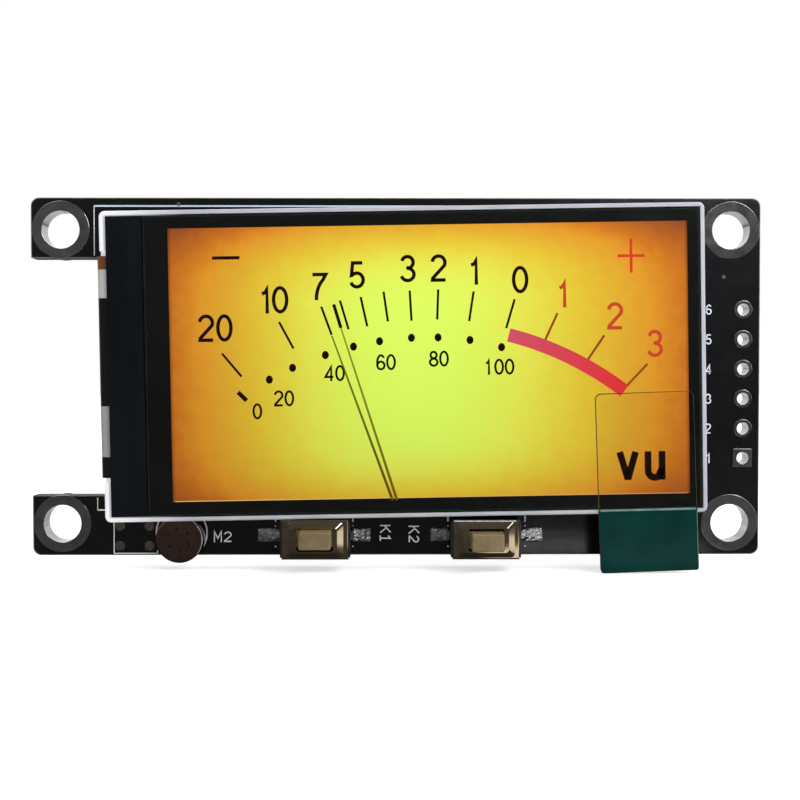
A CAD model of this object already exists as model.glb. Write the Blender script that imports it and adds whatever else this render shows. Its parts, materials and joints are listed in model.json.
# %% [markdown]
# # A lit VU meter module
# The object is a small display module. A colour screen draws the dial of a VU meter, and the screen
# is stuck on a black circuit board that has a microphone, two push buttons and a row of holes for
# wires. The frame that is loaded here holds every hard piece at its real size. This notebook gives
# each of them its finish, and adds what is too thin or too free in shape for a drawing of solids:
# the picture on the screen, the white printing on the board, and the solder.

# %% Load the frame
import json
import math

import bpy
import numpy as np
from mathutils import Euler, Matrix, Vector


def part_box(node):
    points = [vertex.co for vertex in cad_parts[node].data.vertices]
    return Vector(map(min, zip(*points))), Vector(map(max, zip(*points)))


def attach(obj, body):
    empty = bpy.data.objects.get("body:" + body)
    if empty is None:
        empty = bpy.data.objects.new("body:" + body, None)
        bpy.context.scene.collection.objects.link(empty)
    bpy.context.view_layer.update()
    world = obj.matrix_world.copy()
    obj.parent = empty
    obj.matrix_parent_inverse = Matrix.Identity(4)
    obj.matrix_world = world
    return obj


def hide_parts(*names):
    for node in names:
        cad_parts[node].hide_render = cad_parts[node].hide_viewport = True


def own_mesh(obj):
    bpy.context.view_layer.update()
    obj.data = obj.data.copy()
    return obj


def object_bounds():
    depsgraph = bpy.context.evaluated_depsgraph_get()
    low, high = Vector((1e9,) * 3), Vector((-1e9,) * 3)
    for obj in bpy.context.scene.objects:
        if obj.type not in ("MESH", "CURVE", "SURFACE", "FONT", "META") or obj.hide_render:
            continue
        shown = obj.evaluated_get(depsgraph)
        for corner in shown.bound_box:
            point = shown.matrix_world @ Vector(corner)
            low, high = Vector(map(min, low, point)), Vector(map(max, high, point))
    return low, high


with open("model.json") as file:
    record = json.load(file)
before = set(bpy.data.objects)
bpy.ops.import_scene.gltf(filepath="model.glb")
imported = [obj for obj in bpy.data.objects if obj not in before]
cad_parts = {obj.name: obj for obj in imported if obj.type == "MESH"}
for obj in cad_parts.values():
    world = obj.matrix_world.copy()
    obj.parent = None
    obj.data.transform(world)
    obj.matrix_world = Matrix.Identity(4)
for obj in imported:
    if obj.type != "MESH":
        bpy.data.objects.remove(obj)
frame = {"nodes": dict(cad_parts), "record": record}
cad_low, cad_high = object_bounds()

NODES = frame["nodes"]
RECORD = frame["record"]
scene = bpy.context.scene
print(len(NODES), "pieces from the frame,", [round(1000 * side, 2) for side in cad_high - cad_low], "mm")

# %% [markdown]
# ## Where things are
# Lengths are in metres here, so a millimetre is a thousandth. The board's front face is the plane
# that most things are placed from, and it is read from the board's own box. The viewer is on the
# -Y side, so a thing nearer to the viewer has a smaller Y.

# %% The planes that the pieces stand on
MM = 0.001
board_low, board_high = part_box("circuit_board")
BOARD_FRONT = board_low.y
BOARD_BACK = board_high.y
print("board from", round(board_low.x / MM, 2), "to", round(board_high.x / MM, 2), "mm across")


def middle(node):
    """The centre of a node's box, in millimetres from the origin, as seen from the front."""
    low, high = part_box(node)
    return (low.x + high.x) / 2 / MM, (low.z + high.z) / 2 / MM


# %% [markdown]
# ## The screen's own axes
# The screen was stuck down by hand, so it lies turned by about a degree. What is drawn on it has to
# turn with it. The black tape round the back of the glass has an opening that is exactly the
# picture, so the opening's four corners give the picture's place, its size and its turn. They are
# the four corners of that node that lie nearest to its middle.

# %% Read the picture's corners from the tape's opening
def flat_points(node):
    """A node's points as seen from the front, (x, z), each once."""
    mesh = NODES[node].data
    points = np.empty(3 * len(mesh.vertices))
    mesh.vertices.foreach_get("co", points)
    return np.unique(points.reshape(-1, 3)[:, (0, 2)].round(6), axis=0)


def opening_corners(node):
    """The inner corners of a flat frame: of its corners, the four nearest to its centre."""
    flat = flat_points(node)
    centre = (flat.min(axis=0) + flat.max(axis=0)) / 2
    return flat[np.argsort(np.linalg.norm(flat - centre, axis=1))[:4]]


corners = opening_corners("rim_tape")
left_pair, right_pair = np.split(corners[np.argsort(corners[:, 0])], 2)
PICTURE_LOW_LEFT, PICTURE_TOP_LEFT = left_pair[np.argsort(left_pair[:, 1])]
PICTURE_TOP_RIGHT = right_pair[np.argmax(right_pair[:, 1])]
PICTURE_WIDTH = np.linalg.norm(PICTURE_TOP_RIGHT - PICTURE_TOP_LEFT)
PICTURE_HEIGHT = np.linalg.norm(PICTURE_TOP_LEFT - PICTURE_LOW_LEFT)
ACROSS = (PICTURE_TOP_RIGHT - PICTURE_TOP_LEFT) / PICTURE_WIDTH
DOWN = (PICTURE_LOW_LEFT - PICTURE_TOP_LEFT) / PICTURE_HEIGHT
SCREEN_TURN = math.atan2(ACROSS[1], ACROSS[0])
print("picture", round(PICTURE_WIDTH / MM, 2), "x", round(PICTURE_HEIGHT / MM, 2), "mm, turned",
      round(math.degrees(SCREEN_TURN), 2), "degrees")


def on_dial(points):
    """Places dial points, in mm to the right of and below the picture's top left corner."""
    points = np.asarray(points, float) * MM
    return PICTURE_TOP_LEFT + points[:, :1] * ACROSS + points[:, 1:] * DOWN


# %% [markdown]
# ## The camera
# The module is seen square on from close by, so the camera stands one and a half board lengths
# away, almost level with the centre. The few tenths of a degree in its turn are the slight lean
# that a picture taken by hand has.

# %% Set up the camera
CAMERA_PLACE = Vector((-0.480, -89.978, -0.122)) * MM
CAMERA_TURN = Euler((math.radians(88.825), math.radians(0.010), math.radians(-0.485)))
CAMERA_LENS = 47.466

camera = bpy.data.objects.new("camera", bpy.data.cameras.new("camera"))
camera.location = CAMERA_PLACE
camera.rotation_euler = CAMERA_TURN
camera.data.lens = CAMERA_LENS
camera.data.sensor_width = 36.0
camera.data.clip_start = 5 * MM
scene.collection.objects.link(camera)
scene.camera = camera
scene.view_settings.view_transform = "Standard"
print("camera", round(CAMERA_PLACE.length / MM, 1), "mm away, lens", CAMERA_LENS, "mm")

# %% [markdown]
# ## Colours
# A shader works in linear light, and colours are easier to think of as they look on a screen, from
# 0 to 255. The conversion is the standard one for screens: a straight part near black and a power
# of 2.4 above it.

# %% Turn screen colours into linear light
def srgb(red, green, blue):
    """The linear colour of a screen colour, with an alpha of 1."""
    shown = np.array((red, green, blue)) / 255
    linear = np.where(shown <= 0.04045, shown / 12.92, ((shown + 0.055) / 1.055) ** 2.4)
    return (*linear.tolist(), 1.0)


print("a middle grey of 128 is", round(srgb(128, 128, 128)[0], 3), "in linear light")

# %% [markdown]
# ## Shader building blocks
# Most finishes here are a base colour that wanders a little, a roughness that wanders with it, and
# a fine relief. All of it comes from noise on Object coordinates, so a pattern has a true size on
# the piece and keeps its place when a switch is pressed. A noise of size 0.3 mm has lumps about
# that wide.

# %% Helpers that add nodes to a material
def new_material(name):
    """An empty material with its Principled shader."""
    material = bpy.data.materials.new(name)
    material.use_nodes = True
    return material, material.node_tree, material.node_tree.nodes["Principled BSDF"]


def add(tree, kind, **settings):
    """A new shader node with its settings."""
    node = tree.nodes.new("ShaderNode" + kind)
    for key, value in settings.items():
        setattr(node, key, value)
    return node


def plug(tree, socket, value):
    """Gives a socket its value: another node's output, or a number or colour."""
    if isinstance(value, bpy.types.NodeSocket):
        tree.links.new(value, socket)
    else:
        socket.default_value = value


def dress(tree, shader, **sockets):
    """Gives several of the shader's sockets their values; a name has _ for a space."""
    for name, value in sockets.items():
        plug(tree, shader.inputs[name.replace("_", " ")], value)


# %% Helpers that reckon with values
def sums(tree, operation, *values, kind="Math"):
    """A sum on values, or on vectors with a value as its result, named as Blender names it."""
    node = add(tree, kind, operation=operation)
    for socket, value in zip(node.inputs, values):
        plug(tree, socket, value)
    return node.outputs["Value"]


def mix(tree, share, first, second, kind="FLOAT"):
    """The first value where share is 0, the second where it is 1."""
    node = add(tree, "Mix", data_type=kind)
    for name, value in (("Factor", share), ("A", first), ("B", second)):
        plug(tree, node.inputs[name], value)
    return node.outputs["Result"]


def spread(tree, value, from_range, to_range=(0.0, 1.0), smooth=False):
    """Carries a value from one range over to another and holds it at the ends."""
    node = add(tree, "MapRange", interpolation_type="SMOOTHSTEP" if smooth else "LINEAR")
    for name, number in zip(("From Min", "From Max", "To Min", "To Max"), (*from_range, *to_range)):
        node.inputs[name].default_value = number
    plug(tree, node.inputs["Value"], value)
    return node.outputs["Result"]


def parts_of(tree, vector):
    """A vector's X, Y and Z outputs."""
    node = add(tree, "SeparateXYZ")
    plug(tree, node.inputs["Vector"], vector)
    return node.outputs


# %% Helpers that make patterns
def object_place(tree, stretch=(1, 1, 1), shift=(0, 0, 0), turn=(0, 0, 0), **settings):
    """Object coordinates, squeezed along each axis by the given factors, turned and shifted."""
    mapping = add(tree, "Mapping", **settings)
    for name, value in (("Scale", stretch), ("Location", shift), ("Rotation", turn)):
        mapping.inputs[name].default_value = value
    plug(tree, mapping.inputs["Vector"], add(tree, "TexCoord").outputs["Object"])
    return mapping.outputs["Vector"]


def noise(tree, size, detail=3.0, stretch=(1, 1, 1)):
    """Noise from 0 to 1 whose lumps are about size metres wide."""
    node = add(tree, "TexNoise")
    node.inputs["Scale"].default_value = 1 / size
    node.inputs["Detail"].default_value = detail
    plug(tree, node.inputs["Vector"], object_place(tree, stretch))
    return node.outputs["Fac"]


def wave(tree, scale, distortion=0.0, shift=(0, 0, 0), **settings):
    """A wave from 0 to 1 on Object coordinates."""
    node = add(tree, "TexWave", **settings)
    node.inputs["Scale"].default_value = scale
    node.inputs["Distortion"].default_value = distortion
    plug(tree, node.inputs["Vector"], object_place(tree, shift=shift))
    return node.outputs["Fac"]


def ramp(tree, factor, stops):
    """A colour for each value of factor: stops holds (value, screen colour) pairs."""
    node = add(tree, "ValToRGB")
    for _ in stops[2:]:
        node.color_ramp.elements.new(0.5)
    for element, (position, colour) in zip(node.color_ramp.elements, stops):
        element.position = position
        element.color = srgb(*colour)
    plug(tree, node.inputs["Fac"], factor)
    return node.outputs["Color"]


def wander(tree, lumps, dark, light):
    """A colour that wanders from dark to light with the lumps of a noise."""
    return ramp(tree, lumps, ((0.3, dark), (0.7, light)))


def between(tree, factor, low, high):
    """Spreads the middle half of a noise over the values from low to high."""
    return spread(tree, factor, (0.25, 0.75), (low, high))


# %% Helpers that make a whole finish
def relief(tree, factor, depth, shader, strength=1.0):
    """Lets a factor raise the surface by up to depth metres."""
    node = add(tree, "Bump")
    for name, value in (("Distance", depth), ("Strength", strength), ("Height", factor)):
        plug(tree, node.inputs[name], value)
    dress(tree, shader, Normal=node.outputs["Normal"])


def plain_finish(name, dark, light, lumps_mm, roughness, depth_um, grain_mm=None,
                 stretch=(1, 1, 1), **sockets):
    """A finish whose colour and roughness wander, with a relief of a finer grain. The colours are
    screen colours, and further names are sockets of the shader."""
    material, tree, shader = new_material(name)
    lumps = noise(tree, lumps_mm * MM, stretch=stretch)
    grain = noise(tree, (grain_mm or lumps_mm / 4) * MM, stretch=stretch)
    dress(tree, shader, Base_Color=wander(tree, lumps, dark, light),
          Roughness=between(tree, lumps, *roughness), **sockets)
    relief(tree, grain, depth_um * 1e-6, shader)
    return material


# %% [markdown]
# ## The studio
# A plain pale floor runs under the module, and the light is soft. A wide lamp up on the right is
# the main light, because it gives the metal rims and the switch covers their bright right edges,
# and a tall one at the far right draws those edges out. A weaker lamp on the left opens the
# shadows, one behind lights the back, and a small one, low in front, reaches under the screen and
# puts the sparkle on the solder.
#
# What the glossy black parts see in front of them is a dim room, so that the screen stays black,
# and what lies behind the module is the white backdrop, which rays from the camera see from every
# side. The floor in front belongs to that dim room, so a reflection sees it darker than the camera
# does, except for one lit patch a little way in front. The right sides of the switch covers slope
# so that they pick up this patch and turn bright. Away from the module the camera sees the floor
# turn as white as the backdrop, so no horizon shows.

# %% Hang the lamps
AIM = Vector((0, 0, 0))


def soft_lamp(name, place_mm, size_mm, watts, colour=(1, 1, 1)):
    """A flat lamp of the width and height given that points at the module."""
    data = bpy.data.lights.new(name, "AREA")
    data.shape = "RECTANGLE"
    data.size, data.size_y = (side * MM for side in size_mm)
    data.energy = watts
    data.color = colour
    lamp = bpy.data.objects.new(name, data)
    lamp.location = Vector(place_mm) * MM
    lamp.rotation_euler = (AIM - lamp.location).to_track_quat("-Z", "Y").to_euler()
    scene.collection.objects.link(lamp)
    return lamp


soft_lamp("window", (150, -110, 150), (110, 110), 0.34, (0.96, 0.98, 1.0))
soft_lamp("window_side", (190, -34, 40), (60, 200), 0.10, (0.96, 0.98, 1.0))
soft_lamp("room_light", (-120, -80, 180), (140, 140), 0.12, (1.0, 0.97, 0.93))
soft_lamp("from_behind", (-60, 170, 160), (120, 120), 0.20)
soft_lamp("low_window", (70, -150, 76), (46, 46), 0.045, (0.92, 0.95, 1.0))
print("five lamps")

# %% Make the white surroundings
ROOM_LIGHT = 0.33  # what lights the surfaces from all round
ROOM_SEEN = 0.135  # what gloss sees on the viewer's side
HORIZON = (-0.35, 0.45)  # and from where to where, in the direction's Y, it turns white

world = bpy.data.worlds.new("studio")
world.use_nodes = True
scene.world = world
tree = world.node_tree
background = tree.nodes["Background"]
background.inputs["Color"].default_value = (1, 1, 1, 1)
ray = add(tree, "LightPath").outputs
direction = parts_of(tree, add(tree, "TexCoord").outputs["Generated"])
behind = spread(tree, direction["Y"], HORIZON, (ROOM_SEEN, 1.0), smooth=True)
sees_gloss = sums(tree, "MAXIMUM", ray["Is Glossy Ray"], ray["Is Transmission Ray"])
strength = mix(tree, sees_gloss, ROOM_LIGHT, behind)
plug(tree, background.inputs["Strength"], mix(tree, ray["Is Camera Ray"], strength, 1.0))
print("room light", ROOM_LIGHT, "and in reflections", ROOM_SEEN)

# %% Lay the floor
FLOOR_GAP = 0.05 * MM
FLOOR_HALF = 900 * MM
FLOOR_SHINE = 0.62  # the share of white that the camera sees in it even in shadow
FLOOR_PAINT = (0.80, 0.80, 0.80, 1)
FLOOR_WHITE = (45 * MM, 150 * MM)  # where it turns as white as the backdrop, away from the module
FLOOR_ROUGHNESS = 0.9
LIT_MIDDLE = (18.8 * MM, -12 * MM)  # gloss sees a lit patch of floor here
LIT_HALF = (10.8 * MM, 5 * MM)  # and this far to each side of it
LIT_FADE = 1.6 * MM
LIT_GLOW = 0.75
DIM_FLOOR = (0.05, 0.05, 0.05, 1)  # elsewhere in front it sees the floor of the dim room
BEHIND = 3 * MM  # and from here on back the floor as it is


def floor_material():
    """Pale matt paint that shows white to the camera and still takes a shadow."""
    material, tree, shader = new_material("studio_floor")
    ray = add(tree, "LightPath").outputs
    place = add(tree, "TexCoord").outputs["Object"]
    axes = parts_of(tree, place)
    patch = []
    for axis, centre, half in zip("XY", LIT_MIDDLE, LIT_HALF):
        off = sums(tree, "ABSOLUTE", sums(tree, "SUBTRACT", axes[axis], centre))
        patch.append(spread(tree, off, (half + LIT_FADE / 2, half - LIT_FADE / 2), smooth=True))
    lit = sums(tree, "MULTIPLY", *patch)
    pale = sums(tree, "MAXIMUM", lit, sums(tree, "GREATER_THAN", axes["Y"], BEHIND))
    gloss_paint = mix(tree, pale, DIM_FLOOR, FLOOR_PAINT, "RGBA")
    away = sums(tree, "LENGTH", place, kind="VectorMath")
    whiter = spread(tree, away, FLOOR_WHITE, (FLOOR_SHINE, 1.0), smooth=True)
    glow = sums(tree, "MULTIPLY", lit, LIT_GLOW)
    shine = sums(tree, "ADD", sums(tree, "MULTIPLY", ray["Is Camera Ray"], whiter),
                 sums(tree, "MULTIPLY", ray["Is Glossy Ray"], glow))
    paint = mix(tree, ray["Is Glossy Ray"], FLOOR_PAINT, gloss_paint, "RGBA")
    dress(tree, shader, Base_Color=paint, Roughness=FLOOR_ROUGHNESS, Emission_Color=(1, 1, 1, 1),
          Emission_Strength=shine)
    return material


floor_level = cad_low.z - FLOOR_GAP
floor_mesh = bpy.data.meshes.new("floor")
floor_mesh.from_pydata([(x * FLOOR_HALF, y * FLOOR_HALF, floor_level)
                        for x, y in ((-1, -1), (1, -1), (1, 1), (-1, 1))], [], [(0, 1, 2, 3)])
floor_mesh.materials.append(floor_material())
floor = bpy.data.objects.new("floor", floor_mesh)
scene.collection.objects.link(floor)
print("floor at", round(floor_level / MM, 2), "mm")

# %% [markdown]
# ## Surfaces from numbers
# Every added piece is a stack of closed rings of points. A ring joins the next ring with quads, and
# the first and last rings are capped, or joined to each other where the shape closes on itself. A
# printed line, a dot, a via and a mound of solder are all such stacks, so one function makes the
# faces for all of them.

# %% Helpers that turn rings of points into a piece
def faces_of(rings, count, looped):
    """Quads between neighbouring rings of count points, with a cap at each open end."""
    ring, spot = np.meshgrid(np.arange(rings - 1 + looped), np.arange(count), indexing="ij")
    after = (spot + 1) % count
    below = (ring + 1) % rings
    quads = np.stack([ring * count + spot, ring * count + after,
                      below * count + after, below * count + spot], axis=-1)
    faces = quads.reshape(-1, 4).tolist()
    if not looped:
        faces.append(list(range(count))[::-1])
        faces.append([(rings - 1) * count + i for i in range(count)])
    return faces


def inside_out(points, faces):
    """Whether a closed shell's faces point inwards: the sum of its signed cone volumes is below 0."""
    total = 0.0
    centre = points.mean(axis=0)
    for face in faces:
        corner = points[face] - centre
        cross = np.cross(corner[1:-1], corner[2:])
        total += float((cross @ corner[0]).sum())
    return total < 0


def make_piece(name, shells, material, body="board", smooth_below=None):
    """A piece from closed shells; each is an array of rings, or a (rings, looped) pair."""
    all_points, all_faces, start = [], [], 0
    for shell in shells:
        rings, looped = shell if isinstance(shell, tuple) else (shell, False)
        points = rings.reshape(-1, 3)
        faces = faces_of(len(rings), rings.shape[1], looped)
        if inside_out(points, faces):
            faces = [face[::-1] for face in faces]
        all_points.append(points)
        all_faces += [[start + i for i in face] for face in faces]
        start += len(points)
    mesh = bpy.data.meshes.new(name)
    mesh.from_pydata(np.concatenate(all_points).tolist(), [], all_faces)
    mesh.materials.append(material)
    if smooth_below is not None:
        mesh.shade_smooth()
        mesh.set_sharp_from_angle(angle=math.radians(smooth_below))
    piece = bpy.data.objects.new(name, mesh)
    scene.collection.objects.link(piece)
    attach(piece, body)
    return piece


def standing(flat, depth):
    """Flat points (x, z) at the depth y given, as points of the frame."""
    flat = np.asarray(flat)
    return np.stack([flat[..., 0], np.broadcast_to(depth, flat.shape[:-1]), flat[..., 1]], axis=-1)


# %% [markdown]
# ## Printed lines
# A line that is printed with ink has the same width all along. It is a flat ribbon: at each point
# of its path, one edge lies half a width to the left and the other half a width to the right. Where
# the path bends, the offset grows by one over the cosine of half the bend, so the ribbon keeps its
# width round the corner, as a mitre does.

# %% A flat ribbon along a path
MITRE_LIMIT = 0.35


def ribbon(path, width, back, front, looped=False):
    """A thin closed strip along a path of (x, z) points; one width, or one for each point."""
    path = np.asarray(path, float)
    width = np.broadcast_to(width, len(path))[:, None]
    steps = np.diff(path, axis=0, append=path[:1])
    steps /= np.linalg.norm(steps, axis=1, keepdims=True) + 1e-15
    before = np.roll(steps, 1, axis=0)
    if not looped:
        steps[-1] = before[-1]
        before[0] = steps[0]
    along = steps + before
    along /= np.linalg.norm(along, axis=1, keepdims=True)
    half_bend = np.maximum((along * steps).sum(axis=1, keepdims=True), MITRE_LIMIT)
    side = np.stack([-along[:, 1], along[:, 0]], axis=1) * width / 2 / half_bend
    left, right = path + side, path - side
    rings = np.stack([standing(left, back), standing(right, back),
                      standing(right, front), standing(left, front)], axis=1)
    return rings, looped


def rounded(corners, radius, count=8):
    """A closed path whose corners are arcs. An arc's centre lies on the line that halves the corner,
    at the radius over the sine of half the corner's angle."""
    corners = np.asarray(corners, float)
    radius = np.broadcast_to(radius, len(corners))[:, None]
    back = np.roll(corners, 1, axis=0) - corners
    ahead = np.roll(corners, -1, axis=0) - corners
    back /= np.linalg.norm(back, axis=1, keepdims=True)
    ahead /= np.linalg.norm(ahead, axis=1, keepdims=True)
    half = np.arccos((back * ahead).sum(axis=1, keepdims=True)) / 2
    inward = (back + ahead) / np.linalg.norm(back + ahead, axis=1, keepdims=True)
    centre = corners + inward * radius / np.sin(half)
    first = corners + back * radius / np.tan(half) - centre
    last = corners + ahead * radius / np.tan(half) - centre
    start = np.arctan2(first[:, 1], first[:, 0])
    sweep = (np.arctan2(last[:, 1], last[:, 0]) - start + math.pi) % (2 * math.pi) - math.pi
    angle = start[:, None] + sweep[:, None] * np.linspace(0, 1, count)
    arcs = np.stack([np.cos(angle), np.sin(angle)], axis=-1) * radius[:, None]
    return (centre[:, None] + arcs).reshape(-1, 2)


def disc(centre, radii_mm, back, front, count=28):
    """A flat oval dot: two rings, one at the back and one at the front."""
    angle = np.linspace(0, 2 * math.pi, count, endpoint=False)
    flat = np.asarray(centre) + np.stack([np.cos(angle), np.sin(angle)], axis=1) * radii_mm * MM
    return np.stack([standing(flat, back), standing(flat, front)])


# %% [markdown]
# ## Figures drawn with a pen
# The figures on the dial and on the board are strokes of one width, like those of a stencil or a
# plotter. So each figure is a few paths made of straight lines and parts of ellipses, in a box one
# unit high, and the ribbon gives them their ink. This needs no font, and the strokes can be as thin
# or as bold as the print is.

# %% Strokes for the figures
def bow(centre, radii, start, end, count=14):
    """Part of an ellipse; 0 degrees points right and angles grow anticlockwise."""
    angle = np.radians(np.linspace(start, end, count))
    return np.asarray(centre) + np.stack([radii[0] * np.cos(angle), radii[1] * np.sin(angle)], axis=1)


def stroke(*parts):
    """One path through the given bows and points."""
    return np.concatenate([np.atleast_2d(part) for part in parts]), False


def round_stroke(centre, radii):
    """A whole ellipse as one closed path."""
    return bow(centre, radii, 0, 360, 29)[:-1], True


FIGURES = {
    "0": [round_stroke((0.29, 0.50), (0.24, 0.44))],
    "1": [stroke((0.08, 0.73), (0.19, 0.76), (0.265, 0.90), (0.265, 0.0))],
    "1 with foot": [stroke((0.06, 0.78), (0.28, 0.97), (0.28, 0.05)),
                    stroke((0.05, 0.03), (0.50, 0.03))],
    "2": [stroke(bow((0.29, 0.70), (0.235, 0.24), 172, -28), (0.07, 0.13), (0.06, 0.06),
                 (0.54, 0.06))],
    "3": [stroke(bow((0.285, 0.725), (0.21, 0.215), 165, -70), (0.24, 0.525)),
          stroke((0.24, 0.525), bow((0.285, 0.285), (0.235, 0.225), 75, -165))],
    "4": [stroke((0.42, 0.0), (0.42, 0.90), (0.05, 0.27), (0.56, 0.27))],
    "5": [stroke((0.50, 0.94), (0.14, 0.94), (0.09, 0.48),
                 bow((0.285, 0.315), (0.235, 0.255), 138, -160))],
    "6": [round_stroke((0.295, 0.30), (0.225, 0.24)),
          stroke((0.07, 0.33), bow((0.305, 0.50), (0.235, 0.44), 175, 38))],
    "7": [stroke((0.05, 0.94), (0.54, 0.94), bow((0.70, 0.0), (0.52, 0.86), 122, 180, 8))],
    "8": [round_stroke((0.29, 0.735), (0.19, 0.205)), round_stroke((0.29, 0.285), (0.235, 0.225))],
    "v": [stroke((0.05, 0.97), (0.30, 0.12), (0.35, 0.12), (0.60, 0.97))],
    "u": [stroke((0.10, 0.98), (0.10, 0.40), bow((0.33, 0.32), (0.23, 0.24), 180, 300, 9),
                 (0.58, 0.40)), stroke((0.58, 0.98), (0.58, 0.0))],
    "M": [stroke((0.05, 0.0), (0.05, 1.0), (0.30, 0.35), (0.55, 1.0), (0.55, 0.0))],
    "K": [stroke((0.06, 0.0), (0.06, 1.0)), stroke((0.62, 1.0), (0.08, 0.42)),
          stroke((0.24, 0.60), (0.66, 0.0))],
}
print(len(FIGURES), "figures")


def lettering(text, centre, height, width, gap, place, back, front, turn=0.0, after_one=0.0,
              widen=1.0):
    """Ribbons for a word whose middle is at centre; place() turns its points into metres."""
    rows, pen = [], 0.0
    for letter in text:
        paths = [(path * (widen, 1.0), looped) for path, looped in FIGURES[letter]]
        rows += [(path + (pen, 0.0), looped) for path, looped in paths]
        breadth = max(path[:, 0].max() for path, _ in paths)
        pen += breadth + gap + after_one * (letter == "1")
    cos, sin = math.cos(math.radians(turn)), math.sin(math.radians(turn))
    shells = []
    for path, looped in rows:
        x, y = ((path - ((pen - gap) / 2, 0.5)) * height).T
        points = np.stack([centre[0] + x * cos - y * sin, centre[1] + x * sin + y * cos], axis=1)
        shells.append(ribbon(place(points), width, back, front, looped))
    return shells


# %% [markdown]
# ## The lit picture
# The picture is light that comes through the glass, so its finish is an emission and not a paint.
# Its colour runs from lime green in the middle, through yellow and amber, to a burnt orange in the
# corners. A distance from the centre gives it. Each side has its own reach, at which the distance
# is 1. The distance across counts nearly as it is, and the distance up or down counts by a high
# power, so the colour hardly changes until close to the upper and lower edges. A faint mottle
# keeps it from looking like plastic.
#
# The picture is laid in the twenty micrometres between the front polarizer and the protective
# film. The ink of the scale lies on the picture, and the pointer lies on the ink.

# %% The thin layers between glass and film
GLASS_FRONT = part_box("front_polarizer")[0].y
FILM_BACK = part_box("protective_film")[1].y


def layer(share):
    """A depth between the glass, 0, and the film, 1."""
    return GLASS_FRONT + share * (FILM_BACK - GLASS_FRONT)


PICTURE_LAYER = (layer(0.02), layer(0.30))
INK_LAYER = (layer(0.25), layer(0.55))
POINTER_LAYER = (layer(0.50), layer(0.80))
print("layers from", round(layer(0) / MM, 3), "to", round(layer(1) / MM, 3), "mm")

# %% The picture's glow
GLOW_CENTRE = (19.54, 11.68)  # in dial millimetres
GLOW_REACH = ((19.65, 23.47), (13.04, 12.80))  # to the left and right, down and up
GLOW_POWERS = (1.13, 2.53)  # across, and up or down
GLOW_STOPS = (
    (0.00, (226, 255, 100)), (0.08, (224, 255, 98)), (0.18, (225, 246, 91)),
    (0.28, (230, 233, 82)), (0.38, (229, 213, 66)), (0.48, (227, 193, 52)),
    (0.58, (223, 171, 47)), (0.68, (223, 150, 40)), (0.78, (203, 116, 30)),
    (0.90, (168, 88, 31)), (1.00, (133, 70, 36)),
)
GLOW_FAR = 1.25  # the corners' distance, which the last stop stands for
GLOW_GAIN = (2.5, 0.0, 12.7)  # how much brighter it grows, per metre to the right and up
MOTTLE_SIZE = 0.9 * MM
MOTTLE_DEPTH = 0.022
EDGE_BAND = 0.28 * MM
EDGE_SHADE = 0.45


def as_lit_glass(tree, shader, colour):
    """A black body that gives off its emission colour and hardly reflects, as under glued film."""
    dress(tree, shader, Base_Color=(0.003, 0.003, 0.003, 1), Roughness=0.15, Specular_IOR_Level=0.10,
          Emission_Color=colour, Emission_Strength=1.0)


def glow_place(tree):
    """Object coordinates from the glow's centre, turned with the screen."""
    across, up = on_dial([GLOW_CENTRE])[0]
    return object_place(tree, shift=(across, 0, up), turn=(0, -SCREEN_TURN, 0),
                        vector_type="TEXTURE")


def glow_distance(tree, place):
    """The distance from the glow's centre, 0 in the middle and 1 in the corners. Along each axis it is
    the greater of the distances one way and the other way, each over its reach, to a power."""
    axes = parts_of(tree, place)
    join = add(tree, "CombineXYZ")
    for axis, (one_way, other_way), power in zip("XZ", GLOW_REACH, GLOW_POWERS):
        larger = sums(tree, "MAXIMUM", sums(tree, "MULTIPLY", axes[axis], -1 / (one_way * MM)),
                      sums(tree, "MULTIPLY", axes[axis], 1 / (other_way * MM)))
        plug(tree, join.inputs[axis], sums(tree, "POWER", larger, power))
    length = sums(tree, "LENGTH", join.outputs["Vector"], kind="VectorMath")
    return sums(tree, "DIVIDE", length, GLOW_FAR)


def edge_shade(tree, place):
    """1 over the picture, falling to EDGE_SHADE within EDGE_BAND of its left and right edges."""
    half = PICTURE_WIDTH / 2
    from_middle = sums(tree, "ADD", parts_of(tree, place)["X"], GLOW_CENTRE[0] * MM - half)
    return spread(tree, sums(tree, "ABSOLUTE", from_middle), (half - EDGE_BAND, half),
                  (1.0, EDGE_SHADE))


def picture_material():
    """Light through the glass: an emission with the glow's colours and a faint mottle."""
    material, tree, shader = new_material("lit_picture")
    place = glow_place(tree)
    mottle = between(tree, noise(tree, MOTTLE_SIZE, detail=6.0), -MOTTLE_DEPTH, MOTTLE_DEPTH)
    gain = sums(tree, "ADD", sums(tree, "DOT_PRODUCT", place, GLOW_GAIN, kind="VectorMath"), 1.0)
    lit = add(tree, "VectorMath", operation="SCALE")
    plug(tree, lit.inputs["Vector"],
         ramp(tree, sums(tree, "ADD", glow_distance(tree, place), mottle), GLOW_STOPS))
    plug(tree, lit.inputs["Scale"], sums(tree, "MULTIPLY", gain, edge_shade(tree, place)))
    as_lit_glass(tree, shader, lit.outputs["Vector"])
    return material


print(len(GLOW_STOPS), "colours from the glow's middle to the corners")

# %% Lay the picture on the glass
PICTURE_INSET = 0.02  # dark edge of the picture
across, down = PICTURE_WIDTH / MM, PICTURE_HEIGHT / MM
left, right, top, bottom = PICTURE_INSET, across - PICTURE_INSET, PICTURE_INSET, down - PICTURE_INSET
corners = on_dial([(left, top), (right, top), (right, bottom), (left, bottom)])
make_piece("lit_picture", [np.stack([standing(corners, depth) for depth in PICTURE_LAYER])],
           picture_material())
print("picture with an edge of", PICTURE_INSET, "mm")

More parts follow.
